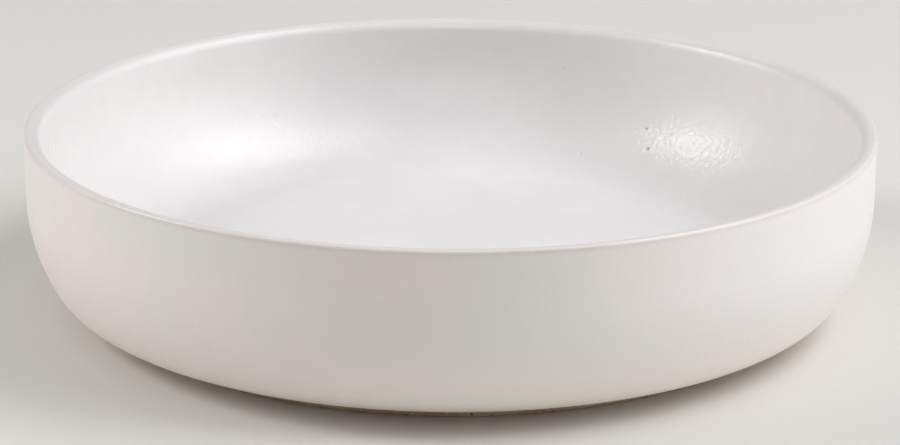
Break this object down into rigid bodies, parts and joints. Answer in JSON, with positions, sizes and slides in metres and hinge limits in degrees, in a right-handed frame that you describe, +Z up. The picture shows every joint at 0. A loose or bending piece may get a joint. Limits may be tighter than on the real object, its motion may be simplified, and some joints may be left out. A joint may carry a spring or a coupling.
{
  "type": "dinner bowl",
  "caption": "Low round stoneware dinner bowl with a steep wall, thin eased lip and recessed foot ring, in satin white glaze.",
  "frame": {"origin": "on the bowl's axis, in the plane of the foot ring's resting face", "axes": "+Z up along the axis of the bowl; +X and +Y are alike, because the bowl is round"},
  "size_m": [0.22, 0.22, 0.0492],
  "materials": {
    "stoneware_clay": "bare fired stoneware, dry and matt, fine grog and iron specks",
    "liner_glaze": "satin white glaze, cool white, faint orange peel and a few iron specks",
    "outer_glaze": "satin matt white glaze, faint warm pink and beige clouds",
    "lip_glaze": "satin white glaze, thin along the outer edge of the lip where it breaks to warm tan",
    "base_glaze": "satin matt white glaze, a little thin, warm"
  },
  "bodies": {
    "root": {"clay_body": "stoneware_clay", "liner_glaze": "liner_glaze", "outer_glaze": "outer_glaze", "lip_glaze": "lip_glaze", "base_glaze": "base_glaze"}
  },
  "joints": []
}
